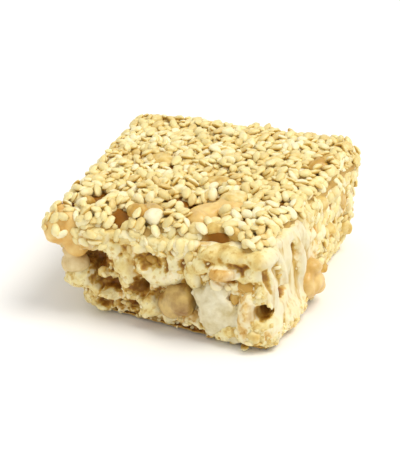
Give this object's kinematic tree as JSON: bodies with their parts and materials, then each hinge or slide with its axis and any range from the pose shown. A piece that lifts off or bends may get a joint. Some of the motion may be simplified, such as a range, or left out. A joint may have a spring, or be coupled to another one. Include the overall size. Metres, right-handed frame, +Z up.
{
  "type": "sesame brittle slab",
  "caption": "Thick hand-cut square of peanut brittle with a sesame seed crust above and below and rough cut sides that show chopped peanut.",
  "frame": {"origin": "on the table, under the middle of the slab's box", "axes": "+Z up through the slab's thickness, +X along the front cut side to its right, +Y from the front cut side to the back"},
  "size_m": [0.0506, 0.055, 0.0223],
  "materials": {
    "sesame": "hulled sesame seed with a thin coat of hard syrup",
    "syrup": "hard amber syrup clouded with nut crumb",
    "peanut": "roasted and broken peanut kernel"
  },
  "bodies": {
    "root": {"sesame_base": "sesame", "peanut_core": "syrup", "sesame_top": "sesame", "peanut_corner": "peanut", "peanut_pale": "peanut", "peanut_golden": "peanut", "peanut_cut": "peanut", "peanut_proud": "peanut", "peanut_top_small": "peanut", "peanut_top_large": "peanut"}
  },
  "joints": []
}
